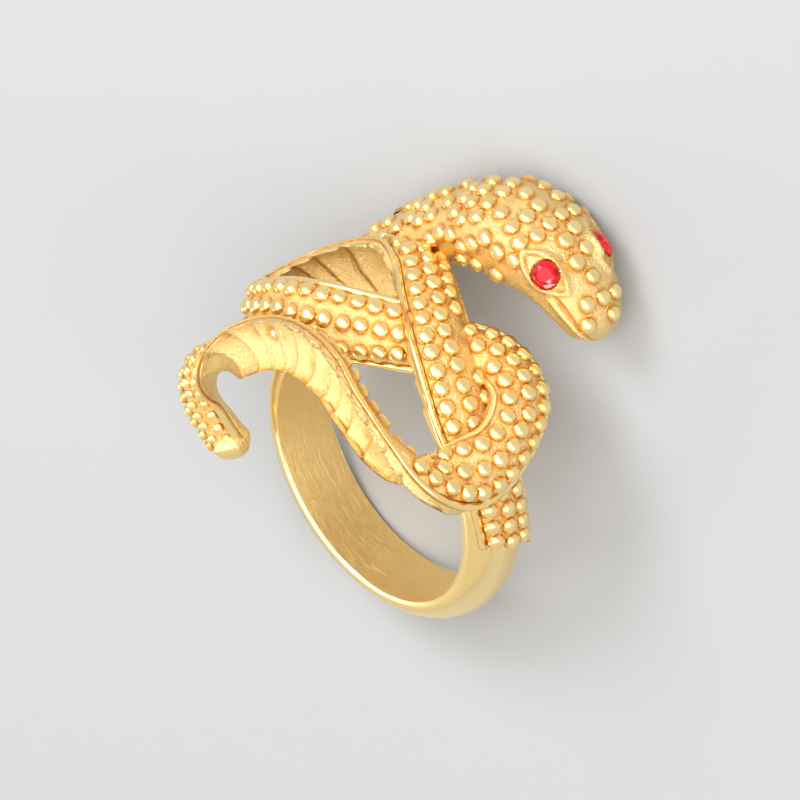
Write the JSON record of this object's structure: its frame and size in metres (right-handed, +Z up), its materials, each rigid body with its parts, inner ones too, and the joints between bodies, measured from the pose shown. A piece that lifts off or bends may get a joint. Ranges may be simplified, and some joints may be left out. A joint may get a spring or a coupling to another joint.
{
  "type": "snake wrap ring",
  "caption": "Gold-coloured finger ring: a plain band carries a studded snake that coils over itself, with a hooked tail and a raised head with round red stones for eyes.",
  "frame": {"origin": "middle of the finger hole, on its axis and halfway along the band's width", "axes": "+Z up with the ring lying on its side as it rests; -Y faces the viewer of the picture, with the tail and the snake's face; the finger hole's axis leans from +Z"},
  "size_m": [0.0297, 0.0344, 0.0199],
  "materials": {
    "cast_ring": "polished gold-coloured plating over cast steel, satin inside the band",
    "eye_stone": "faceted, clear deep red"
  },
  "bodies": {
    "root": {"cast_ring": "cast_ring", "eye_stone_left": "eye_stone", "eye_stone_right": "eye_stone"}
  },
  "joints": []
}
